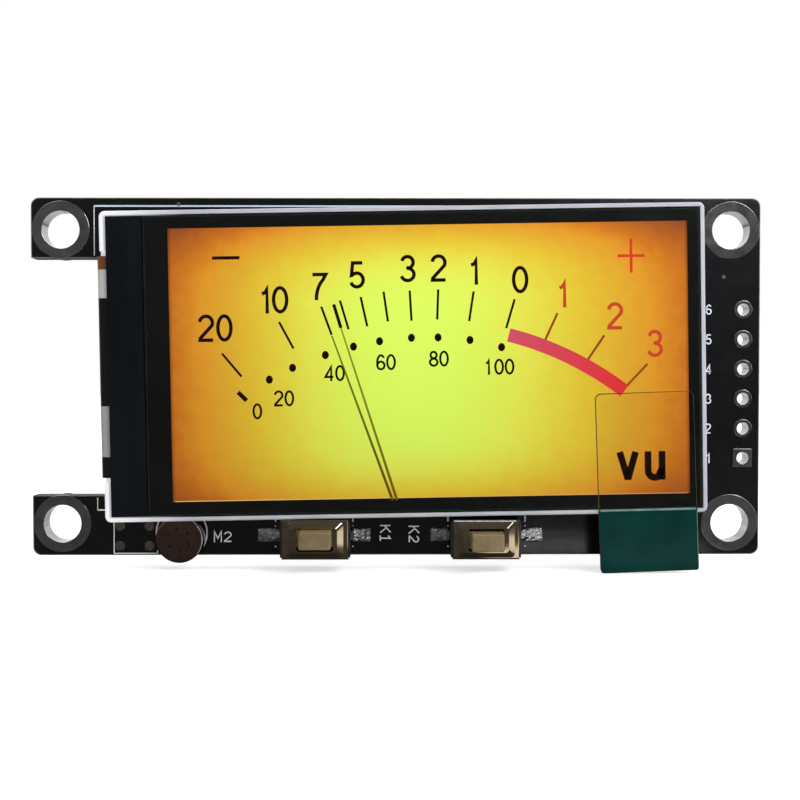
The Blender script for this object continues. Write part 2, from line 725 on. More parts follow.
# %% [markdown]
# ## The scale
# All of the scale is drawn about one point below the picture: the ends of the marks, the dots, the
# red band and the figures each lie on an arc about it. The marks themselves point at a spot a
# little higher, so they fan out more than spokes would. An angle is measured from straight up, to
# the right.

# %% Ink for the dial
INK_GRAIN = 0.3 * MM
INK_RELIEF = 0.2e-6
BLACK_INK = plain_finish("dial_black", (22, 10, 4), (34, 18, 8), 0.4, (0.15, 0.25), 0.2,
                         Specular_IOR_Level=0.10)


def lit_ink(name, colour, edge_colour=None, span=None):
    """Coloured ink that glows, plain or fading from one colour to another across the picture."""
    material, tree, shader = new_material(name)
    if edge_colour is None:
        as_lit_glass(tree, shader, srgb(*colour))
        relief(tree, noise(tree, INK_GRAIN), INK_RELIEF, shader)
        return material
    reach = spread(tree, parts_of(tree, object_place(tree))["X"], span)
    as_lit_glass(tree, shader, ramp(tree, reach, ((0.0, colour), (1.0, edge_colour))))
    return material


def dial_line(points, width_mm, layers=INK_LAYER):
    """A ribbon through dial points."""
    return ribbon(on_dial(points), width_mm * MM, *layers)


def draw(name, shells, ink):
    """A piece of the picture."""
    return make_piece(name, shells, ink)


print("ink between", round(INK_LAYER[0] / MM, 3), "and", round(INK_LAYER[1] / MM, 3), "mm")

# %% Draw the marks and the dots
DIAL_PIVOT = np.array((20.93, 34.92))
MARK_FOCUS = np.array((20.93, 30.62))
MARK_LENGTH = 2.48
MARK_WIDTH = 0.19
DOT_SIZE = (0.29, 0.34)

MARK_PLACES = {  # decibels: degrees from straight up, and distance from the pivot
    -20: (-34.08, 29.68), -10: (-23.7, 29.60), -7: (-16.54, 29.53), -6: (-13.4, 29.60),
    -5: (-10.06, 29.51), -4: (-6.32, 29.64), -3: (-2.15, 29.53), -2: (2.4, 29.60), -1: (8.05, 29.66),
    0: (14.71, 29.64), 1: (21.9, 29.60), 2: (30.2, 29.60), 3: (38.5, 29.60),
}
DOT_PLACES = {  # percent
    20: (-29.74, 25.77), 30: (-24.96, 25.72), 40: (-18.5, 25.65), 50: (-13.1, 25.65),
    60: (-8.2, 25.65), 70: (-2.3, 25.65), 80: (2.6, 25.65), 90: (8.5, 25.65), 100: (14.48, 25.55),
}


def at_angle(angle, radius):
    """The dial point at an angle from straight up and a distance from the pivot."""
    turn = np.radians(angle)
    return DIAL_PIVOT + radius * np.stack([np.sin(turn), -np.cos(turn)], axis=-1)


def mark(place):
    """A mark's ribbon, from its place on the outer arc towards the focus."""
    outer = at_angle(*place)
    inward = (MARK_FOCUS - outer) / np.linalg.norm(MARK_FOCUS - outer)
    return dial_line([outer, outer + MARK_LENGTH * inward], MARK_WIDTH)


black_marks = [mark(place) for level, place in MARK_PLACES.items() if level <= 0]
red_marks = [mark(place) for level, place in MARK_PLACES.items() if level > 0]
dots = [disc(on_dial([at_angle(*place)])[0], DOT_SIZE, *INK_LAYER) for place in DOT_PLACES.values()]

draw("scale_marks", black_marks, BLACK_INK)
draw("percent_dots", dots, BLACK_INK)
draw("red_marks", red_marks, lit_ink("dark_red_ink", (150, 70, 24)))
print(len(black_marks), "black marks,", len(red_marks), "red marks,", len(dots), "dots")

# %% Draw the signs, the zero bar and the red band
SIGN_WIDTH = 0.27
MINUS = ((3.64, 2.49), (5.89, 2.49))
PLUS_CENTRE = np.array((38.10, 2.83))
PLUS_HALF = (1.12, 1.40)
PLUS_WIDTH = 0.2295
ZERO_BAR = ((5.55, 13.54), (6.25, 14.24))
ZERO_BAR_WIDTH = 0.36
BAND_RADIUS = 26.67
BAND_WIDTH = 1.12
BAND_FROM, BAND_TO = 15.2, 38.2

signs = [dial_line(MINUS, SIGN_WIDTH), dial_line(ZERO_BAR, ZERO_BAR_WIDTH)]
plus = [dial_line([PLUS_CENTRE - reach, PLUS_CENTRE + reach], PLUS_WIDTH)
        for reach in ((PLUS_HALF[0], 0), (0, PLUS_HALF[1]))]
band = at_angle(np.linspace(BAND_FROM, BAND_TO, 40), BAND_RADIUS)


def ends_across(points):
    """How far right the first and the last of some dial points lie, in metres."""
    return on_dial([points[0], points[-1]])[:, 0]


draw("minus_and_zero_bar", signs, BLACK_INK)
draw("plus_sign", plus, lit_ink("plus_ink", (226, 62, 40)))
draw("red_band", [dial_line(band, BAND_WIDTH)],
     lit_ink("red_band_ink", (214, 84, 104), (226, 48, 54), ends_across(band)))
print("red band over", round(BAND_TO - BAND_FROM, 1), "degrees")

# %% Draw the bright last row
ROW_INSET = (0.2, 0.05)  # from the picture's ends and from its lower edge
ROW_WIDTH = 0.06

row = [(ROW_INSET[0], down - ROW_INSET[1]), (across - ROW_INSET[0], down - ROW_INSET[1])]
draw("last_row", [dial_line(row, ROW_WIDTH)],
     lit_ink("last_row_ink", (240, 205, 110), (222, 160, 104), ends_across(row)))
print("last row", ROW_WIDTH, "mm high")

# %% Draw the figures
FIGURE_HEIGHT = 2.24
FIGURE_STROKE = 0.29
PERCENT_HEIGHT = 1.30
PERCENT_STROKE = 0.185
FIGURE_GAP = 0.13
FIGURE_AFTER_ONE = 0.06  # more air after a 1
PERCENT_AFTER_ONE = 0.23

FIGURE_PLACES = {  # degrees from straight up, and distance from the pivot
    "20": (-32.8, 31.75), "10": (-23.1, 31.45), "7": (-16.0, 31.17), "5": (-10.1, 31.35),
    "3": (-2.4, 31.35), "2": (2.3, 31.35), "1": (7.63, 31.30), "0": (14.7, 31.30),
}
RED_FIGURE_PLACES = {"1": (21.46, 31.20), "2": (30.1, 31.40), "3": (37.4, 31.27)}
PERCENT_PLACES = {
    "0": (-35.0, 24.15), "20": (-29.21, 23.85), "40": (-18.06, 24.00), "60": (-7.7, 23.87),
    "80": (2.8, 23.90), "100": (14.90, 23.93),
}


def dial_word(text, centre, height, width, gap=FIGURE_GAP, after_one=0.0):
    """A word on the dial, upright, with its middle at centre."""
    def place(points):
        across, up = points.T
        return on_dial(np.stack([across, 2 * centre[1] - up], axis=1))
    return lettering(text, centre, height, width * MM, gap, place, *INK_LAYER, after_one=after_one)


def words_round_pivot(places, height, width, after_one=FIGURE_AFTER_ONE):
    """Each word at its own angle and distance from the pivot."""
    return [shell for text, place in places.items()
            for shell in dial_word(text, at_angle(*place), height, width, after_one=after_one)]


for name, ink, row in (
        ("decibel_figures", BLACK_INK, (FIGURE_PLACES, FIGURE_HEIGHT, FIGURE_STROKE)),
        ("red_figures", lit_ink("red_ink", (205, 72, 44)),
         (RED_FIGURE_PLACES, FIGURE_HEIGHT, FIGURE_STROKE)),
        ("percent_figures", BLACK_INK,
         (PERCENT_PLACES, PERCENT_HEIGHT, PERCENT_STROKE, PERCENT_AFTER_ONE))):
    draw(name, words_round_pivot(*row), ink)
    print(name, " ".join(row[0]))

# %% Draw the unit's name
UNIT_CENTRE = (38.65, 20.14)
UNIT_HEIGHT = 2.42
UNIT_STROKE = 0.56
UNIT_GAP = 0.32

unit = dial_word("vu", UNIT_CENTRE, UNIT_HEIGHT, UNIT_STROKE, UNIT_GAP)
draw("unit_name", unit, BLACK_INK)
print("unit name of", len(unit), "strokes")

# %% [markdown]
# ## The pointer
# The pointer is drawn in the picture too. Its tip is a short black bar across the scale, and from
# there a thin olive line runs down to the picture's lower edge. A second line beside it is its
# drawn shadow. Both grow darker towards the bottom, where the picture behind them is darker.

# %% Draw the pointer and its shadow
POINTER_TIP = ((13.55, 6.44), (14.11, 8.38))
POINTER_LINE = ((14.11, 8.38), (18.49, 22.66))
SHADOW_LINE = ((13.35, 9.02), (18.13, 22.66))
TIP_WIDTH = 0.27
LINE_WIDTHS = np.array((0.13, 0.24))  # at the top and at the bottom

draw("pointer_tip", [dial_line(POINTER_TIP, TIP_WIDTH, POINTER_LAYER)], BLACK_INK)
for name, line, layers, upper, lower in (
        ("pointer_line", POINTER_LINE, POINTER_LAYER, (138, 158, 38), (112, 84, 14)),
        ("pointer_shadow", SHADOW_LINE, INK_LAYER, (112, 128, 28), (96, 70, 14))):
    draw(name, [dial_line(line, LINE_WIDTHS, layers)],
         lit_ink(name + "_ink", upper, lower, ends_across(line)))
    print(name, "from", line[0], "to", line[1])

# %% [markdown]
# ## White printing on the board
# The board carries thin white lines and figures: the outline of the screen, of the microphone and
# of the switches, a box round the programming pads, and a number beside each header hole. The ink
# lies fifteen micrometres proud of the black lacquer. It is printed by machine, so the lines are
# even, and the screen, which was stuck down by hand, hides some of them.

# %% Print lines on the board
INK_WIDTH = 0.12
TOP_LINE_WIDTH = 0.14  # the outline above the screen is printed heavier
SIDE_LINE_WIDTH = 0.07
INK_BACK = BOARD_FRONT + 0.002 * MM
INK_FRONT = BOARD_FRONT - 0.015 * MM
PRINT_LAYER = (INK_BACK, INK_FRONT)
WHITE_INK = plain_finish("white_print", (232, 235, 240), (248, 250, 253), 0.25, (0.45, 0.65), 2)
HEAVY_INK = plain_finish("white_print_heavy", (206, 220, 234), (226, 240, 250), 0.25, (0.30, 0.45), 2)


def on_board(points):
    """Places board points, in millimetres to the right of and above the origin."""
    return np.asarray(points, float) * MM


def printed(*paths, width=INK_WIDTH):
    """White ribbons on the board's front through paths of (right, up) points in millimetres."""
    return [ribbon(on_board(path), width * MM, *PRINT_LAYER) for path in paths]


def board_piece(name, shells, material=WHITE_INK):
    """A piece that lies on the board, white print if nothing else is said."""
    return make_piece(name, shells, material)


edge_points = flat_points("circuit_board") / MM
at_left_edge = edge_points[np.isclose(edge_points[:, 0], board_low.x / MM, atol=0.002)]
NOTCH_HALF = np.abs(at_left_edge[:, 1]).min()
in_notch = (np.abs(edge_points[:, 1]) < NOTCH_HALF) & (edge_points[:, 0] < 0)
NOTCH_EDGE = edge_points[in_notch, 0].max()
print("notch", round(2 * NOTCH_HALF, 2), "mm high, its end at", round(NOTCH_EDGE, 2), "mm")
SCREEN_BOX = (-25.66, 14.50, 24.10, -11.34)  # left, top, right, bottom of the printed outline
BOTTOM_SHIFT = (0.12, 0.16)  # how far the outline's lower line and lower left line lie inside it
AWAY_FROM_NOTCH = 0.2
left, top, right, bottom = SCREEN_BOX
low_left, notch_end = left + BOTTOM_SHIFT[1], NOTCH_HALF + AWAY_FROM_NOTCH
outline = printed([(right, top), (right, bottom), (left + BOTTOM_SHIFT[0], bottom)])
outline += printed([(left, notch_end), (left, top)], [(low_left, bottom), (low_left, -notch_end)],
                   width=SIDE_LINE_WIDTH)
board_piece("print_screen_outline", outline)
board_piece("print_screen_top_line", printed([(left, top), (right, top)], width=TOP_LINE_WIDTH),
            HEAVY_INK)

PAD_BOX = (-24.12, -12.0, -20.42, -15.05)
PAD_BOX_ENDS = (0.25, 0.6)  # what is left of its right side, at the bottom and at the top
PAD_LINE_WIDTH = 0.08
left, top, right, bottom = PAD_BOX
pad_box = printed([(left, top), (left, bottom), (right, bottom), (right, bottom + PAD_BOX_ENDS[0])],
                  [(right, top), (right, top - PAD_BOX_ENDS[1])], width=PAD_LINE_WIDTH)
board_piece("print_pad_box", pad_box)

# %% Print round the microphone and the switches
MIC_RING = (2.16, 2.16)
MIC_RING_ARC = (-40, 215)
MIC_RING_SHIFT = (-0.06, 0.36)
SWITCH_PLACES = {"left": -7.05, "right": 7.68}  # where the board expects a switch's middle
TICK_REACH = 3.30  # from there to the corner marks
TICKS_UP = ((1.60, 1.10), (0.80, 0.70), (-0.95, -1.05))  # pieces of the outline beside the leads

mic_across, mic_up = middle("mic_can")
mic_centre = (mic_across + MIC_RING_SHIFT[0], mic_up + MIC_RING_SHIFT[1])
board_piece("print_microphone_ring", printed(bow(mic_centre, MIC_RING, *MIC_RING_ARC, 60)))


def switch_ticks(across, up):
    """What shows of a switch's printed outline, beside its leads."""
    return [shell for side in (-TICK_REACH, TICK_REACH) for high, low in TICKS_UP
            for shell in printed([(across + side, up + high), (across + side, up + low)])]


for side, across in SWITCH_PLACES.items():
    up = middle(f"{side}_switch_cover")[1]
    board_piece(f"print_{side}_switch", switch_ticks(across, up))
print("microphone at", round(mic_across, 2), "mm, switches at", list(SWITCH_PLACES.values()), "mm")

# %% Print the words and numbers
NAME_HEIGHT = 0.90
NAME_STROKE = 0.105
NAME_GAP = 0.25
PIN_HEIGHT = 0.86
PIN_RIGHT_OF_SCREEN = 26.62
PINS = 6
HEADER_PITCH = 2.54
NAMES = {  # word, middle, gap, turn in degrees, and how much wider than high
    "microphone": ("M2", (-14.88, -13.65), 0.25, 0.0, 1.30),
    "first_switch": (("K", "1 with foot"), (-0.98, -13.33), 0.20, -90.0, 1.15),
    "second_switch": (("K", "2"), (1.47, -13.42), 0.20, -90.0, 1.15),
}


def printed_word(text, centre, height, gap=NAME_GAP, turn=0.0, widen=1.0):
    """A word in white on the board's front."""
    return lettering(text, centre, height, NAME_STROKE * MM, gap, on_board, *PRINT_LAYER,
                     turn=turn, widen=widen)


header_across, header_up = middle("board_header_rims")
pins = []
for i in range(PINS):
    up = header_up + HEADER_PITCH * (i - (PINS - 1) / 2)
    pins += printed_word(str(i + 1), (PIN_RIGHT_OF_SCREEN, up), PIN_HEIGHT)
board_piece("print_pin_numbers", pins)
for name, (text, centre, gap, turn, widen) in NAMES.items():
    board_piece(f"print_{name}_name", printed_word(text, centre, NAME_HEIGHT, gap, turn, widen))
print("header holes at", round(header_across, 2), "mm across")

# %% [markdown]
# ## Tracks on the back
# Copper tracks run under the black lacquer and show as low ridges, a shade lighter and glossier than
# the bare laminate beside them. They are drawn as on any board of this kind: straight runs with
# bends of 45 degrees, narrow for signals and wide for the supply, and a small round hole where one
# changes sides. Their routes join the pads that belong together. White lines beside them mark
# where the chip, the capacitors and the header go.

# %% Run the tracks
TRACK_WIDTH = 0.20
SUPPLY_WIDTH = 0.50
VIA_SIZE = (0.32, 0.32)
OUTLINE_WIDTH = 0.13
PIN_ONE_SIZE = (0.26, 0.26)
TRACK_LAYER, VIA_LAYER, OUTLINE_LAYER = (
    (BOARD_BACK - 0.002 * MM, BOARD_BACK + height * MM) for height in (0.016, 0.021, 0.026))
LANES = (3.6, 2.8, 2.0, 1.2)  # heights of four signals side by side
LANE_STEP = 0.17
SIGNAL_TRACKS = (
    ((10.3, 0.4), (15.6, 0.4)), ((24.2, 0.68), (28.8, 0.68)),
    ((10.3, 1.2), (13.0, 1.2)), ((24.6, 3.22), (28.8, 3.22)),
    ((8.3, 5.5), (8.5, 5.7), (22.6, 5.7), (22.7, 5.76), (28.8, 5.76)),
    ((10.3, -2.0), (12.4, -2.0)), ((23.9, -1.86), (28.8, -1.86)),
    ((5.1, 5.5), (5.1, 6.2), (4.4, 6.9)), ((5.9, 5.5), (5.9, 6.2), (6.6, 6.9)),
    ((6.9, 8.1), (8.9, 8.1)), ((4.1, 8.1), (2.1, 8.1)),
    *(((0.8, z), (-1.2, z), (-1.2 - LANE_STEP, z + LANE_STEP), (-16.4, z + LANE_STEP)) for z in LANES),
    ((0.8, 0.4), (-0.9, 0.4), (-3.19, -1.89), (-16.4, -1.89)),
    ((0.8, -0.4), (-0.7, -0.4), (-2.99, -2.69), (-16.4, -2.69)),
    ((0.8, -1.2), (-0.5, -1.2), (-2.74, -3.44), (-16.4, -3.44)),
    ((2.7, -3.9), (2.7, -4.4), (1.55, -5.55), (-6.2, -5.55), (-6.9, -4.85)),
    ((3.5, -3.9), (3.5, -4.9), (0.8, -7.6), (-5.4, -7.6)),
    ((4.3, -3.9), (4.3, -6.4)),
    ((5.1, -3.9), (5.1, -5.4), (6.2, -6.5), (6.2, -9.6)),
    ((5.9, -3.9), (5.9, -5.1), (7.1, -6.3), (7.1, -9.0)),
    ((6.7, -3.9), (6.7, -4.8), (8.0, -6.1), (8.0, -8.4)),
    ((-16.4, 5.33), (-14.8, 5.33), (-13.0, 7.13), (-12.1, 7.13)),
    ((-9.9, 8.2), (-8.2, 8.2)), ((-7.4, 6.3), (-7.4, 8.0)),
    ((-10.9, -10.8), (-10.9, -12.0), (-12.5, -13.6), (-17.6, -13.6)),
    ((-8.4, -10.8), (-8.4, -12.6), (-9.9, -14.1), (-19.2, -14.1)),
)
SUPPLY_TRACKS = (
    ((28.7, -6.94), (25.0, -6.94), (22.2, -9.74), (20.3, -9.74)),
    ((28.7, -4.4), (22.7, -4.4), (22.1, -3.8), (22.1, -2.6)),
    ((18.5, -4.0), (18.5, -0.5)), ((22.1, 0.2), (22.1, 2.6), (20.9, 2.6)),
    ((16.6, -9.74), (14.1, -9.74)), ((9.0, -8.8), (6.9, -10.9), (-1.0, -10.9), (-3.9, -10.9)),
    ((14.6, 10.2), (14.6, 12.6), (-11.2, 12.6), (-11.2, 10.4)),
)
BACK_VIAS = (
    (-5.4, -7.6), (6.2, -9.6), (7.1, -9.0), (8.0, -8.4), (-17.6, -13.6), (-19.2, -14.1), (14.6, 12.6),
    (-11.2, 12.6), (18.5, -0.5), (12.4, -2.0), (23.9, -1.86), (15.6, 0.4), (24.2, 0.68), (13.0, 1.2),
    (24.6, 3.22), (25.2, 9.3), (25.2, 10.7), (0.4, 12.6), (-1.4, 6.0), (24.3, -11.6), (-20.6, 12.4),
    (-3.9, -12.2), (14.0, -12.6),
)

TRACK_COAT = plain_finish("lacquered_track", (46, 49, 50), (58, 61, 62), 1.1, (0.10, 0.16), 0.8)


def dots_at(places, size, layers, count=20):
    """Round dots at board points."""
    return [disc(place, size, *layers, count) for place in on_board(places)]


tracks = [ribbon(on_board(path), width * MM, *TRACK_LAYER)
          for width, paths in ((TRACK_WIDTH, SIGNAL_TRACKS), (SUPPLY_WIDTH, SUPPLY_TRACKS))
          for path in paths]
vias = dots_at(BACK_VIAS, VIA_SIZE, VIA_LAYER)
board_piece("back_tracks", tracks, TRACK_COAT)
board_piece("back_vias", vias, TRACK_COAT)
print(len(tracks), "tracks and", len(vias), "vias")

# %% Print the outlines on the back
OUTLINES = (
    ((28.0, -8.4), (28.0, 7.2), (30.7, 7.2)), ((28.0, -8.4), (30.7, -8.4)),
    ((0.2, 5.0), (0.2, 6.1), (1.3, 6.1)), ((9.7, 6.1), (10.8, 6.1), (10.8, 5.0)),
    ((10.8, -3.4), (10.8, -4.5), (9.7, -4.5)), ((1.3, -4.5), (0.2, -4.5), (0.2, -3.4)),
    ((16.6, 0.9), (21.0, 0.9)), ((16.6, 4.3), (21.0, 4.3)), ((16.5, 1.4), (16.5, 3.8)),
    ((9.4, -10.5), (13.8, -10.5)), ((9.4, -7.1), (13.8, -7.1)), ((9.3, -10.0), (9.3, -7.6)),
    ((-12.2, -5.2), (-12.2, -9.4)), ((-5.9, -5.2), (-5.9, -9.4)),
)
PIN_ONE_DOTS = ((10.9, -4.9), (-11.9, -10.6))
outlines = [ribbon(on_board(path), OUTLINE_WIDTH * MM, *OUTLINE_LAYER) for path in OUTLINES]
outlines += dots_at(PIN_ONE_DOTS, PIN_ONE_SIZE, OUTLINE_LAYER)
board_piece("print_back_outlines", outlines)
print(len(outlines), "printed lines and dots")

# %% [markdown]
# ## Solder on the switches
# Each switch stands on two feet, soldered at its ends. A joint is a mound that is high where the
# solder climbs the lead and runs out flat over the pad. Each of its rings is a low arch across the
# joint, closed by a flat bottom, and the arches' height falls along the joint by a power of the
# distance. A few slow waves make every joint a little different, as soldering by hand does.

# %% Pile up the solder
JOINT_FAR = 4.79  # from the middle of the switch's place
JOINT_HALF_WIDTH = 0.60
JOINT_UP = -0.02
JOINT_HEIGHT = 0.60
JOINT_EDGE = 0.10
JOINT_SKIN = 0.004
JOINT_ENDS = 9  # the power that keeps a joint full until close to its ends
JOINT_FALL = 1.6  # the power by which its height falls
JOINT_BACK = 0.65  # the power that fills out its arches
END_WIDTH = 0.86  # the share of its width that is left at its ends
RIPPLE, RIPPLE_ALONG, RIPPLE_ROUND = 0.16, 9, 2.2  # a share of the height, and two speeds
SWAY, SWAY_ALONG = 0.05, 7  # the same for the width
FULL_TURN = 6.28
RINGS, POINTS = 26, 22


def solder_mound(start, end, up, waves):
    """Arches of a falling height from the switch's end outwards."""
    along = np.linspace(0, 1, RINGS)[:, None]
    angle = np.linspace(0, math.pi, POINTS)[None, :]
    ends = (1 - np.abs(2 * along - 1) ** JOINT_ENDS) ** 0.5
    height = JOINT_EDGE + (JOINT_HEIGHT - JOINT_EDGE) * (1 - along) ** JOINT_FALL
    ripple = 1 + (RIPPLE * np.sin(RIPPLE_ALONG * along + waves[0])
                  * np.sin(RIPPLE_ROUND * angle + waves[1]))
    rise = height * ends * np.sin(angle) ** JOINT_BACK * ripple + JOINT_SKIN
    half = (JOINT_HALF_WIDTH * (END_WIDTH + (1 - END_WIDTH) * ends)
            * (1 + SWAY * np.sin(SWAY_ALONG * along + waves[2])))
    x = start + (end - start) * along + 0 * angle
    z = up - half * np.cos(angle)
    return np.stack([x * MM, BOARD_FRONT - rise * MM, z * MM], axis=-1)


random = np.random.default_rng(11)
mounds = []
for side, across in SWITCH_PLACES.items():
    low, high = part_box(f"{side}_switch_base")
    up = (low.z + high.z) / 2 / MM
    for start, direction in ((low.x / MM, -1), (high.x / MM, 1)):
        end = across + direction * JOINT_FAR
        mounds.append(solder_mound(start, end, up + JOINT_UP, random.uniform(0, FULL_TURN, 3)))
print(len(mounds), "solder joints")

# %% [markdown]
# ## Metals
# Bare metal has no colour of its own apart from its reflection, so its base colour is light and
# the surroundings make it bright or dark. What tells one metal from another is the way it was
# shaped: tin that was levelled with hot air is wavy, a stamped and rolled cover has fine lines
# along one way, and a drawn can keeps faint rings about its middle.

# %% Mix the metals
METALS = {  # dark, light, lumps in mm, roughness, relief in micrometres, grain in mm, stretch
    "tinned_copper": ((150, 147, 146), (180, 178, 180), 1.2, (0.08, 0.15), 3, 0.16),
    "dull_tinned_copper": ((150, 138, 128), (186, 172, 160), 0.3, (0.18, 0.28), 2, 0.2),
    "solder": ((176, 180, 184), (252, 253, 255), 0.30, (0.06, 0.15), 170, 0.27),
    "lead_tin": ((178, 176, 170), (206, 204, 198), 0.3, (0.26, 0.40), 2, 0.12),
    "switch_steel": ((156, 140, 114), (178, 162, 136), 0.5, (0.05, 0.11), 0.4, 0.10, (0.12, 1, 1)),
    "snap_dome_steel": ((186, 184, 178), (210, 208, 204), 0.4, (0.14, 0.26), 0.5, 0.08, (1, 1, 0.15)),
    "mic_inner_metal": ((196, 186, 150), (216, 208, 176), 0.4, (0.22, 0.34), 0.6, 0.08),
    "resonator_metal": ((200, 190, 160), (222, 214, 190), 0.5, (0.24, 0.36), 0.5, 0.07, (0.12, 1, 1)),
    "mirror_film": ((214, 216, 220), (234, 236, 240), 3, (0.05, 0.12), 4, 6),
}
CAN_LUMPS = 0.8 * MM
CAN_RINGS = 0.12 * MM
CAN_RING_WANDER = 1.5
CAN_RELIEF = 0.8e-6
CAN_ROUGHNESS = (0.10, 0.17)


def turned_metal(name, dark, light, centre):
    """Metal with faint rings about a centre, given in millimetres, where the drawing tool slid."""
    material, tree, shader = new_material(name)
    lumps = noise(tree, CAN_LUMPS)
    dress(tree, shader, Base_Color=wander(tree, lumps, dark, light),
          Roughness=between(tree, lumps, *CAN_ROUGHNESS), Metallic=1.0)
    rings = wave(tree, 1 / (20 * CAN_RINGS), CAN_RING_WANDER, (-centre[0] * MM, 0, -centre[1] * MM),
                 wave_type="RINGS", rings_direction="Y")
    relief(tree, rings, CAN_RELIEF, shader, 0.5)
    return material


FINISHES = {name: plain_finish(name, *row, Metallic=1.0) for name, row in METALS.items()}
FINISHES["mic_aluminium"] = turned_metal("mic_aluminium", (124, 98, 90), (144, 116, 108),
                                         (mic_across, mic_up))
print(len(FINISHES), "metals")

# %% [markdown]
# ## Plastics, tapes and ceramics
# Moulded plastic takes over the texture of its mould, so it gets a fine even relief. Tape and film
# are smooth along the surface and only wave over some millimetres. Foam shows open cells at its
# edge. Ceramic is matt and grainy, and the black epoxy of a chip has small glass beads in it that
# show as a sparkle in its roughness.

# %% Mix the plastics and the rest
OTHERS = {  # the same columns as for the metals
    "switch_plastic": ((26, 26, 27), (38, 38, 38), 0.5, (0.42, 0.55), 3, 0.08),
    "button_ivory": ((114, 95, 66), (134, 114, 84), 0.9, (0.36, 0.50), 4, 0.10),
    "white_frame": ((178, 179, 187), (192, 193, 200), 3, (0.40, 0.52), 3, 0.15),
    "mic_inner_plastic": ((150, 118, 70), (172, 138, 88), 0.5, (0.45, 0.60), 3, 0.10),
    "foam_tape": ((186, 186, 182), (226, 226, 222), 0.16, (0.75, 0.95), 30, 0.12),
    "optical_film": ((206, 210, 214), (222, 226, 230), 4, (0.30, 0.42), 2, 0.05, (1, 1, 0.05)),
    "clear_acrylic": ((222, 228, 230), (236, 240, 242), 5, (0.08, 0.16), 0.5, 0.4),
    "black_tape": ((8, 11, 17), (14, 18, 25), 1.4, (0.24, 0.38), 3, 0.9, (1, 1, 0.12)),
    "seal_glue": ((150, 140, 110), (178, 168, 138), 0.4, (0.30, 0.45), 2, 0.20),
    "bare_silicon": ((62, 60, 70), (84, 80, 92), 0.7, (0.08, 0.16), 0.2, 0.20),
    "tab_green": ((0, 44, 41), (0, 56, 50), 2.6, (0.28, 0.40), 2, 0.8),
    "chip_epoxy": ((26, 26, 28), (40, 40, 42), 0.12, (0.48, 0.70), 5, 0.05),
    "white_ceramic": ((206, 200, 188), (224, 219, 208), 0.4, (0.55, 0.70), 4, 0.06),
    "capacitor_ceramic": ((128, 98, 72), (152, 120, 90), 0.3, (0.40, 0.55), 3, 0.06),
    "polarizer_film": ((7, 9, 7), (11, 13, 10), 2.5, (0.10, 0.18), 0.5, 2.0),
    "screen_glass": ((20, 32, 30), (30, 44, 40), 2, (0.05, 0.12), 0.3, 1.5),
    "tantalum_case": ((196, 138, 44), (214, 158, 62), 0.8, (0.42, 0.56), 5, 0.10),
}
SOCKETS = {  # what some of them have besides
    "button_ivory": {"Subsurface_Weight": 0.06}, "clear_acrylic": {"IOR": 1.49},
    "black_tape": {"Specular_IOR_Level": 0.30}, "bare_silicon": {"Metallic": 0.8},
    "tab_green": {"Specular_IOR_Level": 0.12}, "screen_glass": {"IOR": 1.52},
}
for name, row in OTHERS.items():
    FINISHES[name] = plain_finish(name, *row, **SOCKETS.get(name, {}))
print(len(FINISHES), "finishes")

# %% Let the lamps show through the frame's left end
LEAK_SPAN = (-23.2 * MM, -17.5 * MM)
LEAK_COLOURS = ((0.0, (176, 178, 178)), (1.0, (0, 0, 0)))


def let_light_through(material):
    """The backlight's lamps sit at the left, and the thin frame glows there."""
    tree = material.node_tree
    shader = tree.nodes["Principled BSDF"]
    reach = spread(tree, parts_of(tree, object_place(tree))["X"], LEAK_SPAN)
    dress(tree, shader, Emission_Color=ramp(tree, reach, LEAK_COLOURS), Emission_Strength=1.0)


let_light_through(FINISHES["white_frame"])
print("frame glows over", round((LEAK_SPAN[1] - LEAK_SPAN[0]) / MM, 1), "mm")

# %% [markdown]
# ## The circuit board
# The board is glass cloth in resin, with copper tracks and a coat of glossy black lacquer on both
# faces. Through the lacquer one feels the weave of the cloth and the edges of the tracks, and at
# the cut sides the bare yellowish laminate shows in thin layers. One finish holds both: the
# surface's own direction says whether a point is on a face or on a side. The direction comes from
# the shape and not from the camera.

# %% Mix the board's finish
WEAVE = 0.45 * MM
WEAVE_WANDER = 0.6
LAYERS = 0.20 * MM
LAMINATE = ((0.35, (40, 38, 28)), (0.65, (84, 78, 58)))
LACQUER = ((10, 11, 12), (17, 18, 19))
LACQUER_LUMPS = 2.2 * MM
GLOSS_LUMPS = 1.1 * MM
GLOSS = (0.14, 0.22)
CUT_ROUGHNESS = 0.75
WEAVE_RELIEF = 1.2e-6


def facing_along_y(tree):
    """1 where the surface looks at the viewer or straight away, and 0 on the sides."""
    direction = parts_of(tree, add(tree, "TexCoord").outputs["Normal"])
    return sums(tree, "ABSOLUTE", direction["Y"])


def board_material():
    """Black lacquer over woven laminate on the faces, and layered laminate on the cut sides."""
    material, tree, shader = new_material("solder_mask")
    cut = sums(tree, "LESS_THAN", facing_along_y(tree), 0.5)
    lacquer = wander(tree, noise(tree, LACQUER_LUMPS), *LACQUER)
    laminate = ramp(tree, noise(tree, LAYERS, stretch=(0.2, 1, 0.2)), LAMINATE)
    gloss = between(tree, noise(tree, GLOSS_LUMPS), *GLOSS)
    dress(tree, shader, Base_Color=mix(tree, cut, lacquer, laminate, "RGBA"),
          Roughness=mix(tree, cut, gloss, CUT_ROUGHNESS))
    threads = [wave(tree, math.pi / (20 * WEAVE), WEAVE_WANDER, wave_type="BANDS", bands_direction=axis)
               for axis in "XZ"]
    relief(tree, sums(tree, "ADD", *threads), WEAVE_RELIEF, shader)
    return material


FINISHES["solder_mask"] = board_material()
print("threads", WEAVE / MM, "mm apart")

